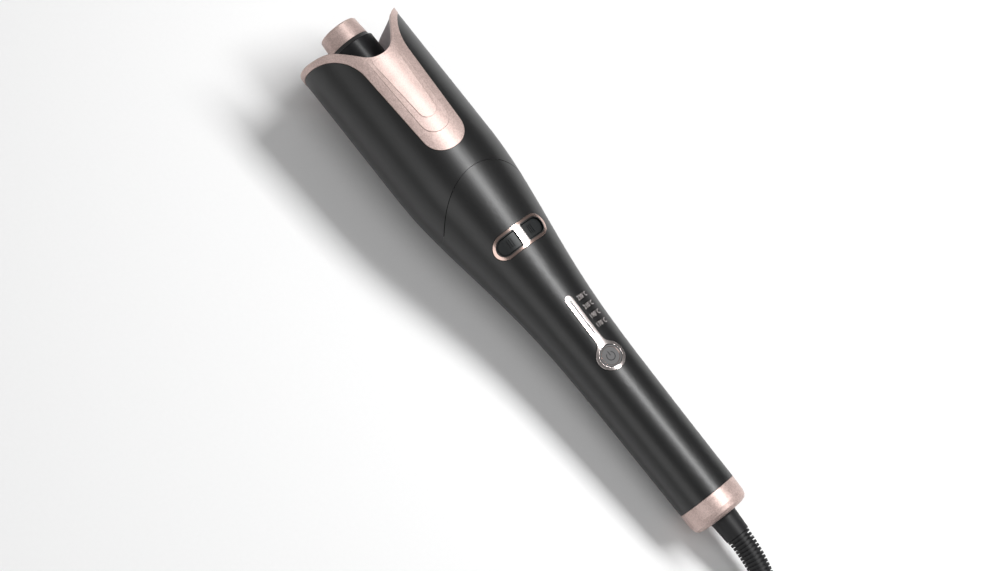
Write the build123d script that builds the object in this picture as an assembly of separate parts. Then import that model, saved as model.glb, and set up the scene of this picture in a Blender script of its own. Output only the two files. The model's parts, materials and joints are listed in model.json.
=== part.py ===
from build123d import *
from math import acos, atan2, cos, degrees, pi, radians, sin, tan
from copy import copy
import os

os.makedirs("parts", exist_ok=True)

# An automatic hair curler, lying on its back. It is modelled standing on its tail
# (+Z along the tool, the controls towards -Y), then laid down at the end.
# All sizes are in millimetres.

# ---------------------------------------------------------------- driving sizes
BARREL_R = 12.7  # a one-inch barrel
BARREL_WALL = 1.0
HEAD_R = 29.6
TRIM_PROUD = 0.25  # how far the trim stands above the head shell
SHELL_WALL = 2.2
HEAD_WALL = 1.7
TRIM_WALL = 1.65  # the sleeve that lines the winding chamber
CHAMBER_R = HEAD_R - HEAD_WALL - TRIM_WALL - 0.05

TAIL_R = 16.2
SHELL_BOTTOM = 12.6
SEAM_TOP = 211.0
SEAM_R = 29.0
FLOOR_TOP = 226.0
FLANGE_TOP = 231.0
SLEEVE_BOTTOM = 234.6
SLEEVE_TOP = 300.6
TIP_BOTTOM = 302.5
TIP_TOP = 312.3
BODY_TOP = 312.0

# (radius, height) where the outline of handle and head changes its course
FORM = [(16.4, SHELL_BOTTOM), (16.9, 70), (17.7, 107), (20.0, 139), (27.6, 195),
        (29.2, 212), (HEAD_R, 228)]

SWITCH_Z = 169.6
SWITCH_WIDE = 32.0
SWITCH_HIGH = 12.4
SWITCH_RIM = 2.0
SWITCH_BAR = 4.0
BEZEL_PROUD = 0.35

POWER_Z = 96.0
POWER_RING_R = 7.5
POWER_HOLE_R = 5.9
POWER_CAP_R = 5.6
STEM_HALF = 2.2
STEM_TOP = 132.2
LIGHT_BOTTOM = 109.3
LIGHT_TOP = 129.5
LABEL_Z = [112.0, 117.4, 122.9, 128.3]

MODULE = 0.75
RING_TEETH = 32
IDLER_SMALL_TEETH = 12
IDLER_BIG_TEETH = 20
PINION_TEETH = 12
MOTOR_Y = 10.0
MOTOR_R = 8.0
GEAR_LOW = (199.6, 202.6)
GEAR_HIGH = (204.6, 209.6)
CLIP = (203.5, 204.3)
BASE_PLATE = (196.0, 199.0)
TOP_PLATE = (211.0, 214.0)

NECK_R = 9.0
RUN_FIT = 0.05  # radial clearance of a running fit
POST_R = 4.2
AXLE_R = 1.5
HEATER_R = 11.2
PIN_R = 2.0

BOARD_BACK = -7.0
BOARD_THICK = 1.4

CORD_R = 3.3
RELIEF_LONG = 46.0
RELIEF_STRAIGHT = 12.0
RELIEF_TURN = 20.0
RELIEF_LEAN = 28.0  # from the sideways direction towards the surface below
RIB_PITCH = 2.05

UP = (Align.CENTER, Align.CENTER, Align.MIN)


# ---------------------------------------------------------------- small helpers
def disc(radius, bottom, top):
    return Pos(0, 0, bottom) * Cylinder(radius, top - bottom, align=UP)


def tube(outer, inner, bottom, top):
    return disc(outer, bottom, top) - disc(inner, bottom - 1, top + 1)


def block(x, y, z):
    middle = Pos((x[0] + x[1]) / 2, (y[0] + y[1]) / 2, (z[0] + z[1]) / 2)
    return middle * Box(x[1] - x[0], y[1] - y[0], z[1] - z[0])


def rod_in(radius, x, z, y):
    """A round rod along Y at (x, z), from y[0] to y[1]."""
    middle = Pos(x, (y[0] + y[1]) / 2, z)
    return middle * Rot(90, 0, 0) * Cylinder(radius, y[1] - y[0])


def through(face):
    """A front-view face carried right through the tool, front to back."""
    return extrude(Plane.XZ * face, amount=60, both=True)


def front(face):
    """A front-view face carried from the middle plane out through the front."""
    return extrude(Plane.XZ * face, amount=60)


def body(inset):
    """The outer form of handle and head, moved inwards by inset."""
    side = Spline(*[(r - inset, z) for r, z in FORM], tangents=[(0, 1), (0, 1)])
    rest = Polyline(
        (HEAD_R - inset, FORM[-1][1]), (HEAD_R - inset, BODY_TOP), (0, BODY_TOP),
        (0, FORM[0][1]), (FORM[0][0] - inset, FORM[0][1]),
    )
    return revolve(Plane.XZ * make_face([side, rest]), Axis.Z)


def turned(points):
    """A solid turned about the tool's axis from a closed (radius, height) outline."""
    outline = Polyline(*points, close=True)
    return revolve(Plane.XZ * make_face(outline), Axis.Z)


OUTER = body(0)


# ---------------------------------------------------------------- front-view outlines
def below_seam(drop):
    """The region under the arched seam, lowered by drop."""
    centre = SEAM_TOP - SEAM_R
    arch = Pos(0, centre - drop) * Circle(SEAM_R)
    return arch + Pos(0, (centre - drop) / 2) * Rectangle(80, centre - drop)


def above(line, top=330):
    """The region over a front-view line that runs from left to right."""
    start = line @ 0
    end = line @ 1
    rest = Polyline((end.X, end.Y), (end.X, top), (start.X, top), (start.X, start.Y))
    return make_face([line, rest])


def rim_line():
    """The mouth: a saddle at front and back, high at both sides."""
    right = [(5.7, 283), (19.75, 299.7), (34, 306.3)]
    left = [(-x, z) for x, z in reversed(right)]
    return FilletPolyline(*left, *right, radius=[16, 12, 12, 16])


def lobe_line():
    """The top edge of the two dark lobes, with the trim's tongue between them."""
    right = [(11.0, 224), (14.4, 293.5), (34, 303.3)]
    left = [(-x, z) for x, z in reversed(right)]
    return FilletPolyline(*left, *right, radius=[26, 10.9, 10.9, 26])


def tongue_pad(bottom, low_half, top, high_half):
    """A U-shaped step on the tongue."""
    corners = [(high_half, top), (low_half, bottom)]
    line = FilletPolyline(
        *[(-x, z) for x, z in corners], *reversed(corners), radius=low_half * 0.98
    )
    return make_face([line, Line(line @ 1, line @ 0)])


def switch_outline(inset):
    slot = SlotOverall(SWITCH_WIDE - 2 * inset, SWITCH_HIGH - 2 * inset)
    return Pos(0, SWITCH_Z) * slot


def switch_window(side, inset):
    """One of the two D-shaped windows, side -1 or 1, drawn in by inset."""
    near = SWITCH_BAR / 2 + inset
    keep = Pos(side * (near + 10), SWITCH_Z) * Rectangle(20, 30)
    return switch_outline(SWITCH_RIM + inset) & keep


def thermometer_outline(grow):
    """The ring round the power button with the scale's stem above it."""
    ring = Pos(0, POWER_Z) * Circle(POWER_RING_R)
    stem_long = STEM_TOP - POWER_Z
    stem = Pos(0, POWER_Z + stem_long / 2) * Rectangle(2 * STEM_HALF, stem_long)
    stem = fillet(stem.vertices().group_by(Axis.Y)[-1], STEM_HALF * 0.98)
    shape = ring + stem
    joins = [
        v for v in shape.vertices()
        if abs(abs(v.X) - STEM_HALF) < 0.01 and abs(v.Y - POWER_Z) < POWER_RING_R
    ]
    shape = fillet(joins, 5.0)
    return offset(shape, grow) if grow else shape


def light_outline(grow):
    middle = (LIGHT_BOTTOM + LIGHT_TOP) / 2
    slot = SlotOverall(LIGHT_TOP - LIGHT_BOTTOM + 2 * grow, 1.0 + 2 * grow, rotation=90)
    return Pos(0, middle) * slot


# ---------------------------------------------------------------- casings
def handle_shell():
    """The one-piece handle tube, lapped over the head shell at the arched seam."""
    shell = (OUTER - body(SHELL_WALL)) & through(below_seam(0))
    lap = body(1.2) & through(below_seam(0)) - through(below_seam(6))
    shell = shell - lap
    shell = shell - front(switch_outline(-0.15))
    return shell - front(thermometer_outline(0.15))


def head_shell():
    """The dark outer shell of the head, with a lobe at either side."""
    shell = (OUTER - body(HEAD_WALL)) - through(below_seam(-0.2))
    spigot = (body(1.25) - body(SHELL_WALL)) - through(below_seam(5.8))
    spigot = spigot & through(below_seam(-4))
    shell = shell - through(offset(above(lobe_line()), 0.15))
    return shell + spigot


def head_trim():
    """The chamber's sleeve, the rim and the two tongues, moulded in one."""
    sleeve_r = HEAD_R - HEAD_WALL - 0.05
    sleeve = tube(sleeve_r, CHAMBER_R, FLOOR_TOP, BODY_TOP)
    outside = tube(HEAD_R + TRIM_PROUD, sleeve_r, FLOOR_TOP - 3, BODY_TOP)
    trim = sleeve + (outside & through(above(lobe_line())))
    for step, pad in enumerate(
        [tongue_pad(234.5, 7.6, 284, 9.2), tongue_pad(243, 4.6, 282, 7.4)]
    ):
        high = HEAD_R + TRIM_PROUD + 0.4 * (step + 1)
        wedge = turned([(HEAD_R - 1, 230), (high, 230), (high - 0.4 * (step + 1), 290),
                        (HEAD_R - 1, 290)])
        trim = trim + (wedge & through(pad))
    return trim - through(above(rim_line()))


def chamber_floor():
    plate = tube(HEAD_R - HEAD_WALL - 0.05, NECK_R + 1.5, FLOOR_TOP - 4, FLOOR_TOP)
    collar = tube(NECK_R + 4, NECK_R + 1.5, TOP_PLATE[1], FLOOR_TOP - 4)
    return plate + collar


def end_cap():
    """The tail's metal-coloured ring and its closed end, with the cord's hole."""
    corner = 4.6
    outside = turned([
        (0, 0), (12.2, 0), (14.3, 0.6), (15.6, 2.0), (TAIL_R, corner),
        (TAIL_R + 0.15, SHELL_BOTTOM - 0.15), (0, SHELL_BOTTOM - 0.15),
    ])
    spigot = disc(14.1, SHELL_BOTTOM - 0.2, 18.5)
    cavity = disc(12.4, 2.4, 20)
    hole = disc(6.95, -1, 4)
    slots = block((-2, 2), (11, 16), (16, 20)) + block((-2, 2), (-16, -11), (16, 20))
    return outside + spigot - cavity - hole - slots


# ---------------------------------------------------------------- controls
def direction_bezel():
    """A curved stadium ring with a bar across its middle."""
    flange = offset(switch_outline(0), 1.4)
    windows = switch_window(-1, 0) + switch_window(1, 0)
    ring = (body(-BEZEL_PROUD) - body(2.9)) & front(switch_outline(0))
    ring = ring + ((body(SHELL_WALL + 0.05) - body(2.9)) & front(flange))
    return ring - front(windows)


def direction_button(side):
    """A D-shaped key with three grip ribs, on a flange behind the bezel."""
    key = switch_window(side, 0.35)
    face = body(0.7) & front(key) & block((-20, 20), (-40, -13.2), (150, 190))
    for rib in range(3):
        line = Pos(side * (5.4 + 1.1 * rib), SWITCH_Z) * Rectangle(0.5, 4.6)
        face = face + ((body(0.35) - body(1.5)) & front(line))
    plate = front(switch_window(side, -0.3)) & block((-20, 20), (-13.9, -13.0), (150, 190))
    stem = rod_in(1.6, side * 8, SWITCH_Z, (-13.1, -12.6))
    return face + plate + stem


def thermometer_bezel():
    ring = (body(-BEZEL_PROUD) - body(2.7)) & front(thermometer_outline(0))
    behind = (body(SHELL_WALL + 0.05) - body(2.7)) & front(thermometer_outline(1.0))
    hole = Pos(0, POWER_Z) * Circle(POWER_HOLE_R)
    return ring + behind - front(hole) - front(light_outline(0))


def power_button():
    """A round cap with a raised edge, on a flange behind the bezel."""
    cap = rod_in(POWER_CAP_R, 0, POWER_Z, (-16.9, -12.2))
    dish = rod_in(POWER_CAP_R - 0.8, 0, POWER_Z, (-17.2, -16.65))
    flange = rod_in(POWER_CAP_R + 0.9, 0, POWER_Z, (-12.9, -12.2))
    stem = rod_in(1.6, 0, POWER_Z, (-12.3, -11.9))
    return cap - dish + flange + stem


def light_pipe():
    """The clear strip in the stem's slot, running down to the four lamps."""
    strip = body(0.05) & front(light_outline(0))
    foot = block((-1.6, 1.6), (-13.2, -10.2), (LIGHT_BOTTOM + 1, LIGHT_TOP - 1))
    return strip & block((-5, 5), (-30, -13.2), (90, 140)) + foot


def tact_switch(x, z, top, foot):
    """A 6 mm push switch on a board at y = foot, with its plunger's end at y = top."""
    case = block((x - 3, x + 3), (top + 0.4, foot), (z - 3, z + 3))
    return case + rod_in(1.7, x, z, (top, top + 0.5))


# ---------------------------------------------------------------- barrel and heater
def barrel_sleeve():
    sleeve = tube(BARREL_R, BARREL_R - BARREL_WALL, SLEEVE_BOTTOM, SLEEVE_TOP)
    rim = sleeve.edges().filter_by(GeomType.CIRCLE).group_by(Axis.Z)[-1]
    return fillet(rim.sort_by(SortBy.RADIUS)[-1:], 0.6)


def barrel_hub():
    """The heat-proof hub: neck in the bushes, flange in the chamber."""
    hub = disc(NECK_R, 203.0, 227.4)
    hub = hub + disc(16.0, 227.3, FLANGE_TOP)
    hub = hub + disc(BARREL_R - BARREL_WALL, FLANGE_TOP, 239.0)
    key_way = block((-1.5, 1.5), (NECK_R - 1.2, NECK_R + 1), GEAR_HIGH)
    groove = tube(NECK_R + 1, NECK_R - 0.6, *CLIP)
    return hub - disc(POST_R + 1.6, 200, 240) - key_way - groove


def winder_collar():
    """The collar at the barrel's foot, with two fins that carry the hair round."""
    ring = tube(16.0, BARREL_R - BARREL_WALL, FLANGE_TOP, SLEEVE_BOTTOM)
    for turn in (0, 180):
        fin = block((14.5, 22.5), (-1.5, 1.5), (FLANGE_TOP, 240.5))
        fin = fillet(fin.edges().filter_by(Axis.Y).group_by(Axis.Z)[-1].sort_by(Axis.X)[-1], 5)
        ring = ring + Rot(0, 0, turn) * fin
    return ring


def barrel_tip():
    """The cool tip: a slightly tapered cup, open towards the barrel."""
    cup = turned([(0, TIP_BOTTOM), (11.4, TIP_BOTTOM), (10.75, TIP_TOP - 0.6),
                  (10.2, TIP_TOP), (8.8, TIP_TOP), (8.2, TIP_TOP - 0.3),
                  (0, TIP_TOP - 0.3)])
    return cup - disc(8.4, TIP_BOTTOM - 1, TIP_TOP - 3.0)


def tip_insulator():
    plug = disc(BARREL_R - BARREL_WALL, 293.2, SLEEVE_TOP)
    collar = turned([(0, SLEEVE_TOP), (12.0, SLEEVE_TOP), (11.2, TIP_BOTTOM),
                     (0, TIP_BOTTOM)])
    spigot = disc(8.4, TIP_BOTTOM, 308)
    return plug + collar + spigot - disc(PIN_R + RUN_FIT, 290, 304)


def heater_half(side):
    """One aluminium half of the heating core, side -1 in front or 1 behind."""
    core = disc(HEATER_R, 243.5, 290) & block((-20, 20), (0, 20), (230, 300))
    core = core - block((-9.5, 9.5), (-1, 1.25), (230, 300))
    core = core - Pos(0, 6.5, 0) * disc(2.0, 243, 258)
    return core if side > 0 else Rot(0, 0, 180) * core


def heater_base():
    return disc(11.0, 239.5, 243.5) - disc(3.1, 230, 245) - disc(POST_R, 230, 241.5)


def heater_crown():
    """The core's end disc, with the pin on which the barrel's tip runs."""
    return disc(10.6, 290, 292.4) + disc(PIN_R, 292.4, 302)


# ---------------------------------------------------------------- drive
def spur_gear(teeth, bottom, top, bore, phase=0.0):
    """An involute spur gear with a 25 degree flank and a little backlash."""
    pitch_r = MODULE * teeth / 2
    base_r = pitch_r * cos(radians(25))
    tip_r = pitch_r + 0.9 * MODULE
    root_r = pitch_r - 1.2 * MODULE
    half = pi / (2 * teeth) - 0.05 / pitch_r
    slope = tan(radians(25)) - radians(25)
    start_r = max(base_r, root_r + 0.01)
    flank = [(root_r, half + slope)] if base_r > root_r else []
    for step in range(5):
        r = start_r + (tip_r - start_r) * step / 4
        angle = acos(min(1.0, base_r / r))
        flank.append((r, half + slope - (tan(angle) - angle)))
    points = []
    for tooth in range(teeth):
        middle = radians(phase) + 2 * pi * tooth / teeth
        points += [(r * cos(middle - a), r * sin(middle - a)) for r, a in flank]
        points += [(r * cos(middle + a), r * sin(middle + a)) for r, a in reversed(flank)]
    wheel = extrude(make_face(Polyline(*points, close=True)), top - bottom)
    return Pos(0, 0, bottom) * wheel - disc(bore, bottom - 1, top + 1)


def gear_centres():
    """Where the idler stands, and the directions in which the gears meet."""
    to_ring = MODULE * (RING_TEETH + IDLER_SMALL_TEETH) / 2
    to_pinion = MODULE * (IDLER_BIG_TEETH + PINION_TEETH) / 2
    cosine = (to_ring**2 + MOTOR_Y**2 - to_pinion**2) / (2 * to_ring * MOTOR_Y)
    ring_way = 90 - degrees(acos(cosine))
    x = to_ring * cos(radians(ring_way))
    y = to_ring * sin(radians(ring_way))
    return x, y, ring_way, degrees(atan2(MOTOR_Y - y, -x))


IDLER_X, IDLER_Y, RING_WAY, PINION_WAY = gear_centres()


def ring_gear():
    """The barrel's gear, keyed on the hub's neck."""
    gear = spur_gear(RING_TEETH, *GEAR_HIGH, NECK_R, RING_WAY)
    return gear + block((-1.45, 1.45), (NECK_R - 1.1, NECK_R + 0.5), GEAR_HIGH)


def idler_gear():
    """The two-step idler between the motor's pinion and the barrel's gear."""
    gap = 180 / IDLER_SMALL_TEETH
    small = spur_gear(IDLER_SMALL_TEETH, GEAR_LOW[1], GEAR_HIGH[1], AXLE_R + RUN_FIT,
                      RING_WAY + 180 + gap)
    big = spur_gear(IDLER_BIG_TEETH, *GEAR_LOW, AXLE_R + RUN_FIT, PINION_WAY)
    return Pos(IDLER_X, IDLER_Y, 0) * (small + big)


def motor_pinion():
    gap = 180 / PINION_TEETH
    gear = spur_gear(PINION_TEETH, *GEAR_LOW, AXLE_R, PINION_WAY + 180 + gap)
    return Pos(0, MOTOR_Y, 0) * gear


def at_motor(solid):
    return Pos(0, MOTOR_Y, 0) * solid


def motor_gearbox():
    case = disc(MOTOR_R, 176, BASE_PLATE[0])
    case = case + disc(3.2, BASE_PLATE[0], BASE_PLATE[1] - 0.5)
    for side in (-1, 1):
        case = case - Pos(side * 5.5, 0, 0) * disc(1.0, 192, 197)
    return at_motor(case - disc(AXLE_R + RUN_FIT, 185, 200))


def motor_can():
    can = disc(MOTOR_R - 0.3, 152, 176) + disc(2.4, 150.4, 152)
    flats = block((-12, 12), (-12, -6.6), (150, 174))
    return at_motor(can - flats)


def gearbox_base():
    """The plate that carries motor, post and idler, with three pillars."""
    plate = disc(25.0, *BASE_PLATE)
    for turn in (200, 270, 340):
        place = Rot(0, 0, turn) * Pos(21.3, 0, 0)
        plate = plate + place * disc(3.0, BASE_PLATE[0], TOP_PLATE[0])
        plate = plate - place * disc(1.0, BASE_PLATE[0] + 6, TOP_PLATE[0] + 1)
    plate = plate - disc(POST_R, 190, 200) - at_motor(disc(3.2, 190, 200))
    plate = plate - Pos(IDLER_X, IDLER_Y, 0) * disc(AXLE_R, 190, 200)
    for side in (-1, 1):
        plate = plate - Pos(side * 5.5, MOTOR_Y, 0) * disc(1.0, 190, 200)
    return plate


def gearbox_cover():
    plate = tube(25.4, NECK_R + 1.5, *TOP_PLATE)
    for turn in (200, 270, 340):
        plate = plate - Rot(0, 0, turn) * Pos(21.3, 0, 0) * disc(1.1, 205, 220)
    return plate - Pos(IDLER_X, IDLER_Y, 0) * disc(AXLE_R, TOP_PLATE[0] - 1, 213)


def pillar_screws():
    """Three pan-head screws that hold the cover on the pillars."""
    screw = disc(2.0, TOP_PLATE[1], TOP_PLATE[1] + 1.4) + disc(1.0, 206, TOP_PLATE[1])
    return [Rot(0, 0, turn) * Pos(21.3, 0, 0) * screw for turn in (200, 270, 340)]


def motor_screws():
    """Two screws from the base plate into the motor's gearbox."""
    screw = disc(1.7, BASE_PLATE[1], BASE_PLATE[1] + 0.45) + disc(1.0, 192, BASE_PLATE[1])
    return [Pos(side * 5.5, MOTOR_Y, 0) * screw for side in (-1, 1)]


def hub_circlip():
    clip = tube(NECK_R + 1.6, NECK_R - 0.6, *CLIP)
    return clip - block((-2.5, 2.5), (-12, 0), (CLIP[0] - 1, CLIP[1] + 1))


# ---------------------------------------------------------------- frame and electronics
def inner_chassis():
    """The tray that carries the boards, with two arms up to the gearbox."""
    tray = block((-12.6, 12.6), (-3.0, -1.6), (19.5, 142))
    for side in (-1, 1):
        wall = block((11.4, 12.6), (-5.2, -3.0), (19.5, 142))
        arm = block((9.0, 12.6), (-3.0, -1.6), (142, BASE_PLATE[0]))
        pair = wall + arm
        tray = tray + (pair if side > 0 else mirror(pair, Plane.YZ))
        for z in (34, 80, 134):
            tray = tray + rod_in(1.4, side * 8.5, z, (BOARD_BACK, -3.0))
    return tray


def main_board():
    y = (BOARD_BACK - BOARD_THICK, BOARD_BACK)
    board = block((-10.8, 10.8), y, (26, 139))
    for side in (-1, 1):
        for z in (34, 134):
            board = board - rod_in(0.9, side * 8.5, z, (-12, -3))
    return board


def board_screws():
    """Four small screws that hold the main board on the tray's pegs."""
    top = BOARD_BACK - BOARD_THICK
    screw = rod_in(1.5, 0, 0, (top - 1.0, top)) + rod_in(0.9, 0, 0, (top, BOARD_BACK))
    return [Pos(side * 8.5, 0, z) * screw for side in (-1, 1) for z in (34, 134)]


def switch_board():
    """The small board behind the two direction buttons."""
    board = block((-13.5, 13.5), (-8.5, -7.3), (160, 180))
    legs = block((-12.4, -10.4), (-7.3, -3.0), (164, 176))
    return board + legs + mirror(legs, Plane.YZ)


def cord_clamp():
    """A bridge across the cord inside the tail."""
    bridge = block((-9, 9), (3.6, 6.0), (20, 27)) + block((-9, -6), (-1.6, 3.6), (20, 27))
    bridge = bridge + block((6, 9), (-1.6, 3.6), (20, 27))
    return bridge - rod_in(0.9, -7.5, 23.5, (3.0, 7.0)) - rod_in(0.9, 7.5, 23.5, (3.0, 7.0))


def clamp_screws():
    screw = rod_in(1.5, 0, 23.5, (6.0, 7.2)) + rod_in(0.9, 0, 23.5, (3.2, 6.0))
    return [Pos(side * 7.5, 0, 0) * screw for side in (-1, 1)]


def heater_leads():
    """Two leads from the core, down the hollow post to the main board."""
    leads = []
    for side in (-1, 1):
        x = side * 1.3
        route = FilletPolyline(
            (x, 0, 243.0), (x, 0, 190), (x, -6.0, 172), (x, -6.2, 139.0), radius=9
        )
        start = Plane(origin=route @ 0, z_dir=route % 0)
        leads.append(sweep(start * Circle(0.8), path=route))
    return leads


# ---------------------------------------------------------------- cord side
def relief_line():
    """The strain relief's centre line: straight out of the tail, then one bend."""
    lean = radians(RELIEF_LEAN)
    side = Vector(-cos(lean), sin(lean), 0)
    out = Vector(0, 0, -1)
    straight = Line((0, 0, 2.4), out * RELIEF_STRAIGHT)
    bend_long = RELIEF_LONG - RELIEF_STRAIGHT
    bend_r = bend_long / radians(RELIEF_TURN)
    turn = radians(RELIEF_TURN)

    def on_bend(a):
        return out * RELIEF_STRAIGHT + side * (bend_r * (1 - cos(a))) + out * (bend_r * sin(a))

    bend = ThreePointArc(on_bend(0), on_bend(turn / 2), on_bend(turn))
    return straight, bend


def strain_relief():
    """A tapered rubber sleeve with a plain foot and a row of ribs."""
    straight, bend = relief_line()
    foot = turned([(0, 0), (7.7, 0), (7.2, -1.2), (6.6, -RELIEF_STRAIGHT), (0, -RELIEF_STRAIGHT)])
    neck = disc(6.9, -0.1, 2.5) + disc(8.4, 2.5, 4.6)
    relief = foot + neck
    core = sweep(Plane(origin=bend @ 0, z_dir=bend % 0) * Circle(4.7), path=bend)
    relief = relief + core
    count = int((bend.length - 1) / RIB_PITCH)
    for rib in range(count):
        place = (rib + 0.5) * RIB_PITCH / bend.length
        where = Plane(origin=bend @ place, z_dir=bend % place)
        radius = 6.2 - 0.9 * rib / count
        relief = relief + extrude(where * Circle(radius), RIB_PITCH * 0.29, both=True)
    bore = sweep(Plane(origin=bend @ 0, z_dir=bend % 0) * Circle(CORD_R), path=bend)
    return relief - disc(CORD_R, -RELIEF_STRAIGHT, 6) - bore


# The cord's route over the surface, from inside the strain relief to the coil, and
# from the coil's top to the plug on it, as (x, y, z) of the finished, lying part.
LEAD_ROUTE = [(198.0, -4.3, 11.15), (207.9, -7.5, 8.9), (215.1, -12.9, 6.0),
              (220.1, -20.4, 4.1), (222.8, -32.0, 3.35)]
TAIL_ROUTE = [(220.4, -9.5, 17.5), (220.0, -19.5, 22.6), (222.6, -29.1, 23.6),
              (227.5, -36.5, 24.6), (234.6, -41.9, 26.0), (243.0, -44.6, 26.9),
              (256.0, -44.8, 26.95)]
COIL_CENTRE = (259.6, -14.6)
COIL_R = 33.0
COIL_SECTION = 20.0
TIE_ANGLE = 40
PLUG_BACK = (268.5, -44.8)
PLUG_BOTTOM = 20.1  # the plug lies on the coil
PLUG_HIGH = 13.7
PLUG_FRONT = 31.0  # from the plug's back to the face that its pins stand on
PIN_SIDE = 9.3


def bend_radii(route):
    """The largest radius at each corner: 0.45 of the shorter run."""
    points = [Vector(*p) for p in route]
    radii = []
    for i in range(1, len(points) - 1):
        before = points[i] - points[i - 1]
        after = points[i + 1] - points[i]
        half_turn = radians(before.get_angle(after)) / 2
        radii.append(0.45 * min(before.length, after.length) / tan(half_turn))
    return radii


def cord_tube(name, route):
    """Straight runs joined by arcs, as one round tube."""
    radii = bend_radii(route)
    path = FilletPolyline(*route, radius=radii)
    section = Plane(origin=path @ 0, z_dir=path % 0) * Circle(CORD_R)
    solid = sweep(section, path=path)
    print(name, "radii", [round(r, 1) for r in radii], "length", round(path.length, 1))
    print(name, "volume", round(solid.volume, 1), "section by length",
          round(pi * CORD_R**2 * path.length, 1))
    return solid


def cord_coil():
    """The hank's outer shape: a ring with a rounded section, lying flat."""
    half = COIL_SECTION / 2
    section = Plane.XZ * Pos(COIL_R, half) * RectangleRounded(COIL_SECTION, COIL_SECTION, 6)
    return Pos(*COIL_CENTRE, 0) * revolve(section, Axis.Z)


def cord_tie():
    """A strap round the hank."""
    outer = RectangleRounded(COIL_SECTION + 2.4, COIL_SECTION + 0.0, 6)
    inner = RectangleRounded(COIL_SECTION - 1.0, COIL_SECTION - 3.0, 5)
    section = Pos(COIL_R, COIL_SECTION / 2) * (outer - inner)
    band = extrude(Plane.XZ * section, 5, both=True)
    return Pos(*COIL_CENTRE, 0) * Rot(0, 0, TIE_ANGLE) * band


def on_plug(along, side=0.0):
    """A place on the plug's middle plane, turned so that +Z points to its pins."""
    return Pos(PLUG_BACK[0] + along, PLUG_BACK[1] + side,
               PLUG_BOTTOM + PLUG_HIGH / 2) * Rot(0, 90, 0)


def plug_body():
    """A flat two-pin plug, lying on its broad side, with the pins towards +X."""
    outline = Polyline((0, -17.6), (20, -17.6), (PLUG_FRONT, -13.5), (PLUG_FRONT, 13.5),
                       (20, 17.6), (0, 17.6), (-9, 9.0), (-9, -9.0), close=True)
    flat = extrude(Pos(*PLUG_BACK, PLUG_BOTTOM) * make_face(outline), PLUG_HIGH)
    flat = fillet(flat.edges().filter_by(Axis.Z), 3.0)
    rims = flat.edges().group_by(Axis.Z)
    flat = fillet(rims[0] + rims[-1], 1.6)
    nose = on_plug(-22.5) * Cone(4.2, 5.4, 14, align=UP)
    bore = on_plug(-26.0) * Cylinder(CORD_R, 14, align=UP)
    return flat + nose - bore


def plug_pins():
    """Two round pins, 19 mm long and 4 mm thick, 18.6 mm apart at the body."""
    pin = Cylinder(2.0, 19, align=UP)
    return [on_plug(PLUG_FRONT, side) * pin for side in (-PIN_SIDE, PIN_SIDE)]


# ---------------------------------------------------------------- every node
STANDING = {
    "handle_shell": handle_shell(),
    "head_shell": head_shell(),
    "head_trim": head_trim(),
    "chamber_floor": chamber_floor(),
    "floor_bush": tube(NECK_R + 1.5, NECK_R + RUN_FIT, 218.0, FLOOR_TOP + 0.8),
    "end_cap": end_cap(),
    "direction_bezel": direction_bezel(),
    "left_button": direction_button(-1),
    "right_button": direction_button(1),
    "thermometer_bezel": thermometer_bezel(),
    "power_button": power_button(),
    "light_pipe": light_pipe(),
    "temperature_lamps": [block((-1.5, 1.5), (-10.0, -8.4), (z - 0.8, z + 0.8))
                          for z in LABEL_Z],
    "left_tact_switch": tact_switch(-8, SWITCH_Z, -11.7, -8.5),
    "right_tact_switch": tact_switch(8, SWITCH_Z, -11.7, -8.5),
    "power_tact_switch": tact_switch(0, POWER_Z, -11.2, BOARD_BACK - BOARD_THICK),
    "barrel_sleeve": barrel_sleeve(),
    "barrel_hub": barrel_hub(),
    "winder_collar": winder_collar(),
    "barrel_tip": barrel_tip(),
    "tip_insulator": tip_insulator(),
    "heater_front_half": heater_half(-1),
    "heater_back_half": heater_half(1),
    "heater_plate": block((-9.5, 9.5), (-1.25, 1.25), (245, 288)),
    "heater_base": heater_base(),
    "heater_crown": heater_crown(),
    "heater_post": tube(POST_R, 3.1, BASE_PLATE[0], 241.5),
    "thermistor": Pos(0, -6.5, 0) * disc(2.0, 245, 258),
    "thermal_fuse": Pos(0, 6.5, 0) * disc(2.0, 245, 258),
    "heater_leads": heater_leads(),
    "ring_gear": ring_gear(),
    "idler_gear": idler_gear(),
    "idler_axle": Pos(IDLER_X, IDLER_Y, 0) * disc(AXLE_R, BASE_PLATE[0], 213),
    "motor_pinion": motor_pinion(),
    "motor_shaft": at_motor(disc(AXLE_R, 186, GEAR_LOW[1])),
    "motor_gearbox": motor_gearbox(),
    "motor_can": motor_can(),
    "gearbox_base": gearbox_base(),
    "gearbox_cover": gearbox_cover(),
    "lower_bush": tube(NECK_R + 1.5, NECK_R + RUN_FIT, *TOP_PLATE),
    "hub_circlip": hub_circlip(),
    "pillar_screws": pillar_screws(),
    "motor_screws": motor_screws(),
    "inner_chassis": inner_chassis(),
    "main_board": main_board(),
    "board_screws": board_screws(),
    "switch_board": switch_board(),
    "controller_chip": block((-4.5, 4.5), (-10.0, -8.4), (72, 81)),
    "mains_capacitor": block((-6.5, 6.5), (-1.6, 6.4), (40, 54)),
    "power_triac": block((-5, 5), (-11.4, -8.4), (58, 67)),
    "cord_clamp": cord_clamp(),
    "clamp_screws": clamp_screws(),
    "strain_relief": strain_relief(),
}


# ---------------------------------------------------------------- laying it down
# It rests on the tail ring's edge and on the shoulder of the head.
SHOULDER = (29.3, 216.0)
TAIL_EDGE = (TAIL_R, 4.6)
TILT = atan2(SHOULDER[0] - TAIL_EDGE[0], SHOULDER[1] - TAIL_EDGE[1])


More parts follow.
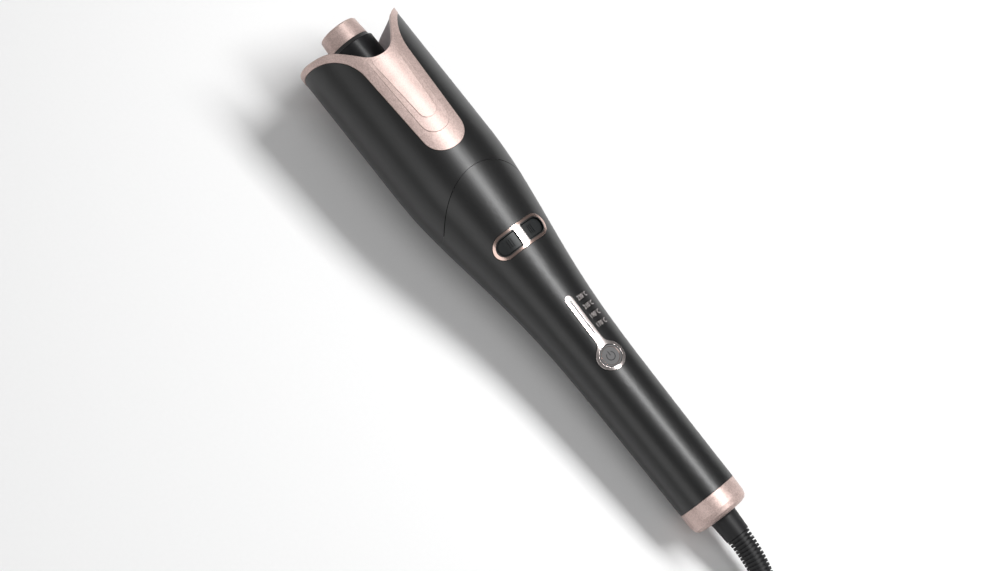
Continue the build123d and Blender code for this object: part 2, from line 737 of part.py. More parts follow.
def lying(origin):
    """The placement that lays the standing tool on its back, tail towards +X."""
    down = Plane(origin=origin, x_dir=(0, 1, 0), z_dir=(-cos(TILT), 0, sin(TILT)))
    return down.location


def resting_place():
    """Where the tail's end goes, so that the tool is centred and stands on Z = 0."""
    outside = [STANDING[n] for n in ("end_cap", "handle_shell", "head_shell", "head_trim",
                                     "barrel_tip")]
    box = Compound(children=[copy(s) for s in outside]).moved(lying((0, 0, 0))).bounding_box()
    return (-(box.min.X + box.max.X) / 2, 0, -box.min.Z)


REST = lying(resting_place())
LYING = {
    "cord_lead": cord_tube("cord_lead", LEAD_ROUTE),
    "cord_coil": cord_coil(),
    "cord_tie": cord_tie(),
    "cord_tail": cord_tube("cord_tail", TAIL_ROUTE),
    "plug_body": plug_body(),
    "plug_pins": plug_pins(),
}


def export(name, solids, place):
    """One STEP file for one node, a single solid or a group of alike ones."""
    group = solids if isinstance(solids, list) else [solids]
    placed = [place * solid for solid in group]
    shape = Compound(children=placed) if len(placed) > 1 else placed[0]
    shape.label = name
    export_step(shape, f"parts/{name}.step")


for name, solids in STANDING.items():
    export(name, solids, REST)
for name, solids in LYING.items():
    export(name, solids, Location())

print("tilt", round(degrees(TILT), 4), "tail at", [round(v, 4) for v in REST.position])
print("idler at", round(IDLER_X, 4), round(IDLER_Y, 4))
straight, bend = relief_line()
print("relief ends at", REST * Vertex(*(bend @ 1)), (bend % 1))
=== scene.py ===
# %% [markdown]
# # An automatic hair curler
# The imported CAD model is the frame: every casing, gear and button is already in its
# place. This lesson gives those parts their finishes, models the pieces that CAD leaves
# plain, and lights the whole as a studio would.
# The first cell loads the frame.

# %% Load the frame
import json
import math

import bmesh
import bpy
from mathutils import Matrix, Vector
from mathutils.bvhtree import BVHTree


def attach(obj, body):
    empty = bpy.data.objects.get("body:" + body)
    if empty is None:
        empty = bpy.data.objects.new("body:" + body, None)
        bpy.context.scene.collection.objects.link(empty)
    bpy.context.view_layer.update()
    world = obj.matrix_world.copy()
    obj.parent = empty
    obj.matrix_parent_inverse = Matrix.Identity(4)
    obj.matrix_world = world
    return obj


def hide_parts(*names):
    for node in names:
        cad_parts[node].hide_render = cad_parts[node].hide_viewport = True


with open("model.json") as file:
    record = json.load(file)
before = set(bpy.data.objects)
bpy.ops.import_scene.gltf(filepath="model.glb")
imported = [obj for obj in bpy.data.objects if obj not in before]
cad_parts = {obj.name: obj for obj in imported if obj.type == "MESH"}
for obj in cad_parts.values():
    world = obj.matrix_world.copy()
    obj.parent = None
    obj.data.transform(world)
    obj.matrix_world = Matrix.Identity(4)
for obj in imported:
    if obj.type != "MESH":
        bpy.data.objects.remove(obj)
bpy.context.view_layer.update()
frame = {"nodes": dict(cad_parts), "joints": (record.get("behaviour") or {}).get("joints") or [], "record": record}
nodes = frame["nodes"]

# %% [markdown]
# The curler lies on its back, a little nose-up, so nothing on it is square to the room.
# It is far easier to think of it standing on its tail: Z along the tool in millimetres,
# the controls towards -Y. The barrel's joint says where that axis is and which way it
# points, so one matrix carries standing millimetres into the frame's metres.

# %% The standing tool's matrix
MM = 0.001
JOINT_HEIGHT = 230  # the joint's own height on the standing tool, in mm
barrel_joint = next(j for j in frame["joints"] if j["name"] == "barrel_spin")
head_way = Vector(barrel_joint["axis"]).normalized()
tail = Vector(barrel_joint["pos_m"]) - head_way * JOINT_HEIGHT * MM
side_way = Vector((0, 1, 0))
back_way = head_way.cross(side_way)
turned = Matrix((side_way, back_way, head_way)).transposed().to_4x4()
TOOL = Matrix.Translation(tail) @ turned @ Matrix.Scale(MM, 4)
print("tail at", tuple(round(v, 4) for v in tail), "nose up", round(head_way.z, 4))


def tool_point(x, y, z):
    """A point of the standing tool, in mm, as a place in the row frame."""
    return TOOL @ Vector((x, y, z))


# %% [markdown]
# The camera looks down on the tool from over its handle through a longish lens, and is
# rolled so that the tool runs down to the right. The roll is measured from the tool's
# own axis: the camera turns about its line of sight until the axis leans as it should.

# %% Camera
CAMERA_AT = (-391, -1019, 57)  # on the standing tool, in mm
LOOK_AT = (-14.6, 5.6, 158.7)
AXIS_LEAN = math.radians(38.35)
LENS = 78.5
SENSOR = 36
NEAREST_SEEN = 0.05  # in metres

eye = tool_point(*CAMERA_AT)
sight = (tool_point(*LOOK_AT) - eye).normalized()
across = sight.cross(head_way).normalized()
upward = across.cross(sight)
camera_x = across * math.cos(AXIS_LEAN) - upward * math.sin(AXIS_LEAN)
camera_y = upward * math.cos(AXIS_LEAN) + across * math.sin(AXIS_LEAN)
camera = bpy.data.objects.new("camera", bpy.data.cameras.new("camera"))
camera.data.lens = LENS
camera.data.sensor_width = SENSOR
camera.data.clip_start = NEAREST_SEEN
facing = Matrix((camera_x, camera_y, -sight)).transposed().to_4x4()
camera.matrix_world = Matrix.Translation(eye) @ facing
bpy.context.scene.collection.objects.link(camera)
bpy.context.scene.camera = camera
print("camera distance", round((tool_point(*LOOK_AT) - eye).length, 3))

# %% [markdown]
# ## The mains cord
# A cord is one smooth spline. The route's points are the control points of a NURBS
# curve, so its bends are even, and the coil is more points of the same spline, worked
# out turn by turn. Only two things are told to Blender after the points are in: the
# order of 3 and the ends that reach their last points.

# %% Cord route
CORD_R = 3.3
LEAD_ROUTE = [
    (198.0, -4.3, 11.15), (207.9, -7.5, 8.9), (215.1, -12.9, 6.0), (220.1, -20.4, 4.1),
]
TAIL_ROUTE = [
    (222.6, -29.1, 23.6), (227.5, -36.5, 24.6), (234.6, -41.9, 26.0),
    (243.0, -44.6, 26.9), (256.0, -44.8, 26.95),
]
COIL_CENTRE = (259.6, -14.6)
OUTER, MIDDLE, INNER = 39.7, 33.0, 26.3  # the radii that turns lie at
LOW, HIGHER, TOP, ABOVE = 3.35, 10.0, 16.65, 23.4  # the heights that turns lie at
LANES = [
    (OUTER, LOW), (MIDDLE, LOW), (INNER, LOW), (INNER, HIGHER), (MIDDLE, HIGHER),
    (OUTER, HIGHER), (MIDDLE, TOP), (OUTER, TOP), (OUTER, ABOVE),
]
COIL_START = math.radians(195)
COIL_END = COIL_START + 2 * math.pi * (len(LANES) - 1)
STEPS_PER_TURN = 16
CHANGING = 0.2  # the last fifth of a turn moves over to the next lane


def lane_at(turn):
    """Radius and height of the hank after so many turns."""
    lane = min(int(turn), len(LANES) - 1)
    after = min(lane + 1, len(LANES) - 1)
    ease = max(0.0, (turn - lane - 1 + CHANGING) / CHANGING)
    ease = ease * ease * (3 - 2 * ease)
    return [a * (1 - ease) + b * ease for a, b in zip(LANES[lane], LANES[after])]


def coil_points():
    """The hank, wound anticlockwise: in through the lanes of one layer, then out."""
    count = (len(LANES) - 1) * STEPS_PER_TURN
    points = []
    for step in range(count + 1):
        angle = COIL_START + (COIL_END - COIL_START) * step / count
        radius, height = lane_at((angle - COIL_START) / (2 * math.pi))
        points.append((
            COIL_CENTRE[0] + radius * math.cos(angle),
            COIL_CENTRE[1] + radius * math.sin(angle),
            height,
        ))
    return points


route = LEAD_ROUTE + coil_points() + TAIL_ROUTE
print("cord points", len(route))

# %% Cord curve
curve = bpy.data.curves.new("mains_cord", "CURVE")
curve.dimensions = "3D"
curve.resolution_u = 8
curve.bevel_depth = CORD_R * MM
curve.bevel_resolution = 6
curve.use_fill_caps = True
spline = curve.splines.new("NURBS")
spline.points.add(len(route) - 1)
for point, place in zip(spline.points, route):
    point.co = (place[0] * MM, place[1] * MM, place[2] * MM, 1)
spline.order_u = 3
spline.use_endpoint_u = True
mains_cord = bpy.data.objects.new("mains_cord", curve)
bpy.context.scene.collection.objects.link(mains_cord)


def centreline(thing):
    """The points of a curve's own line, read from a copy with no thickness."""
    bare = bpy.data.objects.new("bare", thing.data.copy())
    bare.data.bevel_depth = 0
    bpy.context.scene.collection.objects.link(bare)
    depsgraph = bpy.context.evaluated_depsgraph_get()
    mesh = bpy.data.meshes.new_from_object(bare.evaluated_get(depsgraph))
    points = [v.co.copy() for v in mesh.vertices]
    bpy.data.objects.remove(bare)
    return points


cord_line = centreline(mains_cord)

# %% [markdown]
# ## Writing finishes
# A material is a small program. Two helpers make it read like one: `Wire` wraps a
# node's output so that sums written in Python add Math nodes, and `Finish` holds a
# material's tree with one method through which every other node is made.

# %% Shader helpers
EDGE_SAMPLES = 6  # looks taken round each spot when an edge is softened


class Wire:
    """A node's output that can be used in sums, in either order."""

    def __init__(self, finish, socket):
        self.finish = finish
        self.socket = socket

    def sum(self, operation, first, second):
        return self.finish.node("Math", {"operation": operation}, {0: first, 1: second})

    def __add__(self, other):
        return self.sum("ADD", self, other)

    def __sub__(self, other):
        return self.sum("SUBTRACT", self, other)

    def __mul__(self, other):
        return self.sum("MULTIPLY", self, other)

    def __rsub__(self, other):
        return self.sum("SUBTRACT", other, self)

    __radd__ = __add__
    __rmul__ = __mul__


class Finish:
    """A material being written."""

    def __init__(self, name):
        self.material = bpy.data.materials.new(name)
        self.material.use_nodes = True
        self.tree = self.material.node_tree
        self.tree.nodes.clear()

    def node(self, kind, settings=None, sockets=None, out=0):
        """Adds a node: its settings first, then values or wires for its sockets."""
        made = self.tree.nodes.new("ShaderNode" + kind)
        for key, value in (settings or {}).items():
            setattr(made, key, value)
        for key, value in (sockets or {}).items():
            if isinstance(value, Wire):
                self.tree.links.new(value.socket, made.inputs[key])
            elif made.inputs[key].type == "RGBA":
                made.inputs[key].default_value = (*value, 1)
            else:
                made.inputs[key].default_value = value
        return None if out is None else Wire(self, made.outputs[out])

    def place(self):
        """Where a spot is on its own piece, so that a look moves with the piece."""
        return self.node("TexCoord", out="Object")

    def math(self, operation, first, second=0.0):
        """One Math node, for what Python's own signs don't say."""
        return self.node("Math", {"operation": operation}, {0: first, 1: second})

    def along(self, way, origin):
        """Millimetres along one of the standing tool's ways, counted from origin."""
        reached = self.node("VectorMath", {"operation": "DOT_PRODUCT"}, {
            0: self.place(), 1: way}, out="Value")
        return (reached - tail.dot(way)) * (1 / MM) - origin

    def cloud(self, size, detail=2.0):
        """Soft random patches about size millimetres across, from 0 to 1."""
        sockets = {"Vector": self.place(), "Scale": 1 / (size * MM), "Detail": detail}
        return self.node("TexNoise", {}, sockets, out="Fac")

    def between(self, mask, first, second):
        """A colour that goes from first to second as the mask goes from 0 to 1."""
        sockets = {0: mask, 6: first, 7: second}  # the Mix node's places for colours
        return self.node("Mix", {"data_type": "RGBA"}, sockets, out=2)

    def softened(self, radius):
        """Normals that turn evenly over an edge, as if it were rounded."""
        return self.node(
            "Bevel", {"samples": EDGE_SAMPLES}, {"Radius": radius * MM}, out="Normal")

    def relief(self, height, depth, normal=None):
        """A bump whose full height is depth millimetres."""
        sockets = {"Height": height, "Distance": depth * MM}
        if normal:
            sockets["Normal"] = normal
        return self.node("Bump", {}, sockets, out="Normal")

    def done(self, **sockets):
        """Ends the material with one Principled shader that has these sockets."""
        named = {key.replace("_", " "): value for key, value in sockets.items()}
        shader = self.node("BsdfPrincipled", {}, named)
        self.node("OutputMaterial", {}, {"Surface": shader}, out=None)
        return self.material


# %% [markdown]
# ## Black casing
# The casing is moulded in black plastic and sprayed with a soft-touch coat. Up close
# the coat has a very fine grain, and its sheen is a little uneven from handling. Both
# come from noise: a half-millimetre one for the grain, a broad one for the sheen.

# %% Black satin
def black_satin():
    satin = Finish("black_satin")
    sheen = satin.cloud(28.0)
    grain = satin.cloud(0.5, 3.0)
    return satin.done(
        Base_Color=satin.between(sheen, (0.004, 0.004, 0.0042), (0.006, 0.006, 0.0062)),
        Roughness=0.32 + 0.05 * sheen + 0.06 * grain,
        Specular_IOR_Level=0.55,
        Normal=satin.relief(grain, 0.012),
    )


# %% [markdown]
# ## Rose gold
# The trims are plastic with a metallic paint: pale flakes that each shine a little
# differently, so the trims glow softly and sparkle a little. The head's trim also lines
# the chamber, where it is painted a plain mauve-grey, a painted shade and cool reflection
# of the rose gold; a distance from the tool's axis tells the wall from the rim. The
# bezels are plated and polished, so the same metal is much smoother there. The direction
# control's bar is painted a paler, near-white plating, a painted highlight, and its bezel
# is painted black inside its windows, a painted shade for the shadowed gap round the keys.

# %% Rose gold and plated rose gold
SWITCH_HEIGHT, SWITCH_LONG, SWITCH_ACROSS = 169.6, 32.0, 12.4
RIM_SEEN = 1.35  # how much of the direction control's rim is plated
BAR_SEEN = 4.3  # how wide its fixed bar is plated
FLAKE = 0.45  # size of the paint's flakes
CHAMBER_WALL = 26.6  # everything nearer the axis than this is the chamber's wall
PAINT_METAL = 0.60  # how metallic the paint is
# the paint is made less metallic on the chamber's wall, part of its painted shade
WALL_SHADE_METAL_LOSS = 0.25  # how much less so it is on the chamber's wall
TRIM_EDGE, BEZEL_EDGE = 0.35, 0.25  # the radius that edges seem rounded to


def rose_gold(name="rose_gold", wall_shade_painted=False):
    """Flaked paint; with the wall option, the chamber's wall is painted a plain mauve-grey, a painted shade and
    cool reflection of the rose gold.
    """
    paint = Finish(name)
    flakes = paint.node("TexVoronoi", {}, {
        "Vector": paint.place(), "Scale": 1 / (FLAKE * MM)}, out="Color")
    flake = paint.node("SeparateColor", {}, {0: flakes}, out="Red")
    cloud = paint.cloud(18.0)
    colour = paint.between(
        0.65 * flake + 0.35 * cloud, (0.43, 0.315, 0.285), (0.70, 0.55, 0.51))
    metal = PAINT_METAL
    if wall_shade_painted:
        # painted shade: on the chamber's wall the rose gold is painted mauve-grey and made less metallic
        across = paint.along(side_way, 0.0)
        back = paint.along(back_way, 0.0)
        radius = paint.math("SQRT", across * across + back * back)
        painted_wall_shade = paint.math("LESS_THAN", radius, CHAMBER_WALL)
        colour = paint.between(painted_wall_shade, colour, (0.46, 0.42, 0.43))
        metal = PAINT_METAL - WALL_SHADE_METAL_LOSS * painted_wall_shade
    return paint.done(
        Base_Color=colour,
        Metallic=metal,
        Roughness=0.40 + 0.14 * flake,
        Normal=paint.relief(flake, 0.012, paint.softened(TRIM_EDGE)),
    )


def plated_rose_gold():
    plating = Finish("plated_rose_gold")
    haze = plating.cloud(6.0)
    return plating.done(
        Base_Color=plating.between(haze, (0.56, 0.41, 0.36), (0.66, 0.50, 0.45)),
        Metallic=1.0,
        Roughness=0.20 + 0.08 * haze,
        Normal=plating.softened(BEZEL_EDGE),
    )


def direction_bezel_finish():
    """Plated at the rim and on the bar, whose paler plating is a painted highlight, and painted black down inside
    the windows, a painted shade.
    """
    bezel = Finish("direction_bezel")
    across = bezel.math("ABSOLUTE", bezel.along(side_way, 0.0))
    up = bezel.along(head_way, SWITCH_HEIGHT)
    straight = (SWITCH_LONG - SWITCH_ACROSS) / 2  # half of the outline's straight part
    past_straight = bezel.math("MAXIMUM", across - straight, 0.0)
    from_middle = bezel.math("SQRT", past_straight * past_straight + up * up)
    rim = bezel.math("GREATER_THAN", from_middle, SWITCH_ACROSS / 2 - RIM_SEEN)
    on_bar = bezel.math("LESS_THAN", across, BAR_SEEN / 2)
    plated = bezel.math("MAXIMUM", rim, on_bar)
    haze = bezel.cloud(6.0)
    gold = bezel.between(haze, (0.54, 0.39, 0.34), (0.64, 0.48, 0.43))
    # painted highlight: the bar's plating is painted near-white
    bar_painted_glint = bezel.between(haze, (0.78, 0.72, 0.70), (0.86, 0.80, 0.78))
    metal = bezel.between(on_bar * (1 - rim), gold, bar_painted_glint)
    return bezel.done(
        # painted shade: outside the plated rim and bar the bezel is painted black inside the windows
        Base_Color=bezel.between(plated, (0.006, 0.006, 0.006), metal),
        Metallic=plated,
        Roughness=0.42 - 0.22 * plated,
        Normal=bezel.softened(BEZEL_EDGE),
    )


def plated_bright():
    plating = Finish("plated_bright")
    haze = plating.cloud(5.0)
    return plating.done(
        Base_Color=plating.between(haze, (0.72, 0.64, 0.62), (0.80, 0.73, 0.71)),
        Metallic=1.0,
        Roughness=0.18 + 0.06 * haze,
        Normal=plating.softened(BEZEL_EDGE),
    )


# %% [markdown]
# ## The other finishes
# The barrel's ceramic coating is a black glaze with a faint orange-peel ripple. Keys
# are satin plastic, and the left one is painted lighter next to the bar, a painted
# highlight where its face catches the light. The cord and its sleeve are rubber with a
# fine matt grain. The inner parts are cast, turned or moulded, so one function serves
# them all: a fine grain and a broad patchiness, both in their colour, and the grain
# again in their shine.

# %% Barrel glaze, keys, rubber
def barrel_glaze():
    glaze = Finish("barrel_glaze")
    ripple = glaze.cloud(1.6)
    return glaze.done(
        Base_Color=glaze.between(ripple, (0.008, 0.008, 0.009), (0.014, 0.014, 0.015)),
        Roughness=0.30 + 0.06 * ripple,
        Specular_IOR_Level=0.25,
        Normal=glaze.relief(ripple, 0.006),
    )


def key_plastic(name="key_plastic", painted_light_span=None):
    """Satin plastic; given a span across the tool, the key is painted lighter grey from one end of it to the
    other, a painted highlight.
    """
    key = Finish(name)
    grain = key.cloud(0.4, 3.0)
    colour = key.between(grain, (0.012, 0.013, 0.0135), (0.02, 0.0215, 0.022))
    if painted_light_span:
        start, end = painted_light_span
        # painted highlight: the key turns lighter grey towards the bar
        lighter_key_painted = key.node("MapRange", {"interpolation_type": "SMOOTHSTEP"}, {
            "Value": key.along(side_way, 0.0), "From Min": start, "From Max": end})
        colour = key.between(lighter_key_painted, colour, (0.075, 0.08, 0.08))
    return key.done(
        Base_Color=colour,
        Roughness=0.36 + 0.08 * grain,
        Specular_IOR_Level=0.3,
        Normal=key.relief(grain, 0.008),
    )


def power_key():
    key = Finish("power_key")
    grain = key.cloud(0.4, 3.0)
    return key.done(
        Base_Color=key.between(grain, (0.065, 0.063, 0.064), (0.09, 0.087, 0.088)),
        Roughness=0.42 + 0.08 * grain,
        Specular_IOR_Level=0.3,
        Normal=key.relief(grain, 0.006),
    )


def rubber():
    skin = Finish("rubber")
    grain = skin.cloud(0.7, 4.0)
    dust = skin.cloud(11.0)
    return skin.done(
        Base_Color=skin.between(dust, (0.007, 0.007, 0.008), (0.013, 0.013, 0.014)),
        Roughness=0.46 + 0.10 * grain,
        Specular_IOR_Level=0.3,
        Normal=skin.relief(grain, 0.02),
    )


# %% Plain metals and mouldings
def tooled(name, dark, light, shine, metal):
    """A metal or moulding whose grain shows in its colour and its shine."""
    stock = Finish(name)
    grain = stock.cloud(0.8, 3.0)
    patch = stock.cloud(9.0)
    return stock.done(
        Base_Color=stock.between(0.5 * grain + 0.5 * patch, dark, light),
        Metallic=metal,
        Roughness=shine + 0.10 * grain,
        Normal=stock.relief(grain, 0.008),
    )


def light_window():
    window = Finish("light_window")
    haze = window.cloud(1.5)
    return window.done(
        Base_Color=window.between(haze, (0.16, 0.16, 0.165), (0.24, 0.24, 0.245)),
        Roughness=0.18 + 0.08 * haze,
        Coat_Weight=0.4,
    )


# where across the tool the left key is painted lighter, a painted highlight
LEFT_KEY_PAINTED_LIGHT = (-8.0, -2.5)
TOOLED = {  # darkest and lightest colours, least roughness, how metallic
    "heatproof_plastic": ((0.022, 0.021, 0.021), (0.034, 0.032, 0.032), 0.42, 0.0),
    "steel": ((0.48, 0.48, 0.49), (0.62, 0.62, 0.63), 0.28, 1.0),
    "aluminium": ((0.70, 0.71, 0.72), (0.82, 0.83, 0.84), 0.32, 1.0),
    "ceramic": ((0.72, 0.71, 0.68), (0.84, 0.83, 0.80), 0.45, 0.0),
    "bronze": ((0.50, 0.31, 0.13), (0.64, 0.42, 0.20), 0.35, 1.0),
    "gear_plastic": ((0.62, 0.60, 0.54), (0.74, 0.72, 0.66), 0.40, 0.0),
    "board": ((0.02, 0.10, 0.045), (0.03, 0.15, 0.07), 0.40, 0.0),
    "component": ((0.03, 0.03, 0.032), (0.06, 0.06, 0.063), 0.45, 0.0),
    "pin_metal": ((0.62, 0.60, 0.56), (0.74, 0.72, 0.68), 0.22, 1.0),
}
finishes = {name: tooled(name, *look) for name, look in TOOLED.items()}
finishes |= {
    "black_satin": black_satin(),
    "rose_gold": rose_gold(),
    "barrel_coating": barrel_glaze(),
    "key_plastic": key_plastic(),
    "clear_plastic": light_window(),
    "rubber": rubber(),
}
special_finishes = {
    "direction_bezel": direction_bezel_finish(),
    "thermometer_bezel": plated_bright(),
    "power_button": power_key(),
    "head_trim": rose_gold("rose_gold_lined", wall_shade_painted=True),
    "left_button": key_plastic("left_key_plastic", LEFT_KEY_PAINTED_LIGHT),
}
for subpart in frame["record"]["subparts"]:
    name = subpart["node"]
    finish = special_finishes.get(name, finishes[subpart["material_slot"]])
    mesh = nodes[name].data
    mesh.materials.clear()
    mesh.materials.append(finish)
mains_cord.data.materials.append(finishes["rubber"])
print("finishes", len(bpy.data.materials))

# %% [markdown]
# ## Printed scale
# Four temperatures are printed beside the light slot. Blender's own font gives the
# figures. Each becomes a mesh and is laid a hair above the casing, by looking up how
# far out the casing is under every corner of the print.

# %% Laying thin prints on a surface
to_tool = TOOL.inverted()
PRINT_LIFT = 0.04  # how far a print stands off what it is printed on, in mm
IN_FRONT = -60  # a place in front of every surface, where looking starts


def surface_of(name):
    """A CAD node's faces in standing millimetres, ready to be looked up."""
    mesh = nodes[name].data
    return BVHTree.FromPolygons(
        [to_tool @ v.co for v in mesh.vertices], [p.vertices[:] for p in mesh.polygons])


def laid(flat, surfaces, lift=PRINT_LIFT):
    """Moves a flat mesh, drawn in x and z, out to just above the surfaces."""
    for vertex in flat.verts:
        start = Vector((vertex.co.x, IN_FRONT, vertex.co.z))
        hits = [under.ray_cast(start, Vector((0, 1, 0)))[0] for under in surfaces]
        vertex.co.y = min(hit.y for hit in hits if hit) - lift  # stops if nothing is hit
    for face in flat.faces:
        face.normal_update()
        if face.normal.y > 0:
            face.normal_flip()
    return flat


def piece(name, shape, body, finish):
    """Turns a bmesh drawn in standing millimetres into a piece that rides a body."""
    shape.transform(TOOL)
    bmesh.ops.recalc_face_normals(shape, faces=shape.faces)
    mesh = bpy.data.meshes.new(name)
    shape.to_mesh(mesh)
    shape.free()
    mesh.materials.append(finish)
    for polygon in mesh.polygons:
        polygon.use_smooth = False
    made = bpy.data.objects.new(name, mesh)
    bpy.context.scene.collection.objects.link(made)
    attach(made, body)


# %% Scale figures
LABEL_HEIGHTS = {"170": 112.0, "190": 117.4, "210": 122.9, "230": 128.3}
LABEL_LEFT, LABEL_WIDTH, FIGURE_HIGH = 4.3, 6.6, 2.5
FIGURE_GAP = 1.12  # the room each figure has, against the plain font's
STROKE_CHANGE = -0.018  # a thinner stroke than the plain font has
CURVE_STEPS = 3
ink = Finish("scale_ink")
blot = ink.cloud(0.5)
ink_finish = ink.done(
    Base_Color=ink.between(blot, (0.74, 0.67, 0.65), (0.84, 0.78, 0.76)), Roughness=0.5)
handle_surface = surface_of("handle_shell")


def stretched(value, values):
    """Where a value lies among the others, from 0 at the least to 1 at the most."""
    return (value - min(values)) / (max(values) - min(values))


def written(words, left, middle, width, high):
    """Flat letters as a bmesh in x and z, stretched to the size given."""
    font = bpy.data.curves.new("words", "FONT")
    font.body = words
    font.resolution_u = CURVE_STEPS
    font.space_character = FIGURE_GAP
    font.offset = STROKE_CHANGE
    holder = bpy.data.objects.new("words", font)
    bpy.context.scene.collection.objects.link(holder)
    depsgraph = bpy.context.evaluated_depsgraph_get()
    mesh = bpy.data.meshes.new_from_object(holder.evaluated_get(depsgraph))
    bpy.data.objects.remove(holder)
    letters = bmesh.new()
    letters.from_mesh(mesh)
    bmesh.ops.remove_doubles(letters, verts=letters.verts, dist=1e-5)
    bmesh.ops.triangulate(letters, faces=letters.faces)
    xs = [v.co.x for v in letters.verts]
    ys = [v.co.y for v in letters.verts]
    for vertex in letters.verts:
        right = left + width * stretched(vertex.co.x, xs)
        vertex.co = (right, 0, middle + high * (stretched(vertex.co.y, ys) - 0.5))
    return letters


for figure, height in LABEL_HEIGHTS.items():
    letters = written(figure + "\u00b0C", LABEL_LEFT, height, LABEL_WIDTH, FIGURE_HIGH)
    laid(letters, [handle_surface])
    piece("scale_" + figure, letters, "housing", ink_finish)
print("figures", len(LABEL_HEIGHTS))

# %% [markdown]
# ## Power key's marks
# The power key carries a fine ring and the usual sign: an open circle with a bar in
# the gap. Both are thin flat bands, so one function draws an arc of a band, and the
# bands are laid onto the key, with which they move.

# %% Arcs, ring and sign
POWER_HEIGHT = 96.0
KEY_RING_R, KEY_RING_WIDE = 4.75, 0.35
SIGN_DROP, SIGN_R, SIGN_WIDE = 0.1, 2.2, 0.5
SIGN_GAP = 35  # the sign's circle is open this many degrees to each side
SIGN_BAR = (0.2, 2.7)  # the bar's ends, up from the key's middle
key_surface = surface_of("power_button")


def strip(shape, rows):
    """Fills the gaps between rows of two corners each."""
    for first, second in zip(rows, rows[1:]):
        shape.faces.new((first[0], first[1], second[1], second[0]))


def arc_band(shape, centre, radius, width, start, end, steps=48):
    """Adds a flat arc between two angles in degrees, counted from straight up."""
    rows = []
    for step in range(steps + 1):
        angle = math.radians(start + (end - start) * step / steps)
        rows.append([
            shape.verts.new((
                centre[0] + r * math.sin(angle), 0, centre[1] + r * math.cos(angle)))
            for r in (radius - width / 2, radius + width / 2)
        ])
    strip(shape, rows)


def bar(shape, left, right, bottom, top):
    """Adds a flat upright bar."""
    corners = [(left, bottom), (right, bottom), (right, top), (left, top)]
    shape.faces.new([shape.verts.new((x, 0, z)) for x, z in corners])


marks = bmesh.new()
arc_band(marks, (0, POWER_HEIGHT), KEY_RING_R, KEY_RING_WIDE, 0, 360, steps=96)
laid(marks, [key_surface])
piece("power_key_ring", marks, "power_key", plated_rose_gold())
sign = bmesh.new()
arc_band(
    sign, (0, POWER_HEIGHT - SIGN_DROP), SIGN_R, SIGN_WIDE, SIGN_GAP, 360 - SIGN_GAP)
bar(sign, -SIGN_WIDE / 2, SIGN_WIDE / 2, *(POWER_HEIGHT + end for end in SIGN_BAR))
laid(sign, [key_surface])
dark_ink = Finish("dark_ink")
blot = dark_ink.cloud(0.5)
piece("power_sign", sign, "power_key", dark_ink.done(
    Base_Color=dark_ink.between(blot, (0.010, 0.010, 0.011), (0.018, 0.018, 0.019)),
    Roughness=0.45,
    Specular_IOR_Level=0.2,
))
print("key marks at", POWER_HEIGHT)

# %% [markdown]
# ## Fine dark joints
# Where a bezel sits in the casing, and where the two casings meet, a hairline joint
# holds shadow and a little dust. It is far finer than the parts themselves, so each is
# drawn as a narrow dark band along the part's outline and laid onto the casing. The
# joint between the casings is an arch across the front of the tool.

# %% Bands along an outline
joint_line = Finish("joint_line")
lint = joint_line.cloud(1.0)
joint_finish = joint_line.done(
    Base_Color=joint_line.between(lint, (0.003, 0.003, 0.003), (0.006, 0.006, 0.006)),
    Roughness=0.9,
    Specular_IOR_Level=0.05,
)


def arc(centre, radius, start, end, steps=24):
    """Points on a circle, angles in degrees from +x towards +z."""
    angles = [math.radians(start + (end - start) * i / steps) for i in range(steps + 1)]
    return [(centre[0] + radius * math.cos(a), centre[1] + radius * math.sin(a))
            for a in angles]


def densified(points, closed, gap=0.8):
    """The same outline with no run longer than gap millimetres."""
    finer = []
    following = points[1:] + (points[:1] if closed else [])
    for first, second in zip(points, following):
        pieces = max(1, math.ceil(math.dist(first, second) / gap))
        finer += [tuple(a + (b - a) * i / pieces for a, b in zip(first, second))
                  for i in range(pieces)]
    return finer if closed else finer + [points[-1]]


def outline_band(points, width, closed=True):
    """A flat band of that width, centred on an outline in x and z."""
    points = densified(points, closed)
    count = len(points)
    shape = bmesh.new()
    rows = []
    for i, point in enumerate(points):
        before = points[(i - 1) % count] if closed or i else point
        after = points[(i + 1) % count] if closed or i + 1 < count else point
        way = Vector((after[0] - before[0], after[1] - before[1])).normalized()
        side = Vector((-way.y, way.x)) * width / 2
        rows.append([
            shape.verts.new((point[0] + s * side.x, 0, point[1] + s * side.y))
            for s in (-1, 1)
        ])
    strip(shape, rows + rows[:1] if closed else rows)
    return shape


# %% Joints round the bezels
RING_R, STEM_HALF, STEM_TOP, STEM_FILLET = 7.5, 2.2, 132.2, 5.0
JOINT_WIDE, JOINT_LIFT = 0.42, 0.02


def switch_outline(grow):
    """A round-ended oblong, grown on every side."""
    end = SWITCH_ACROSS / 2 + grow
    reach = SWITCH_LONG / 2 - SWITCH_ACROSS / 2
    return (arc((reach, SWITCH_HEIGHT), end, -90, 90)
            + arc((-reach, SWITCH_HEIGHT), end, 90, 270))


def thermometer_outline(grow):
    """Ring, the two hollow corners over it, and the stem with its round top."""
    hollow = STEM_FILLET - grow
    corner_x = STEM_HALF + STEM_FILLET
    rise = math.sqrt((RING_R + STEM_FILLET) ** 2 - corner_x ** 2)
    lean = math.degrees(math.atan2(rise, corner_x))
    corner = (corner_x, POWER_HEIGHT + rise)
    other = (-corner_x, POWER_HEIGHT + rise)
    half = STEM_HALF + grow
    return (arc((0, POWER_HEIGHT), RING_R + grow, 180 - lean, 360 + lean, 72)
            + arc(corner, hollow, 180 + lean, 180, 12)
            + arc((0, STEM_TOP - STEM_HALF), half, 0, 180, 16)
            + arc(other, hollow, 0, -lean, 12))


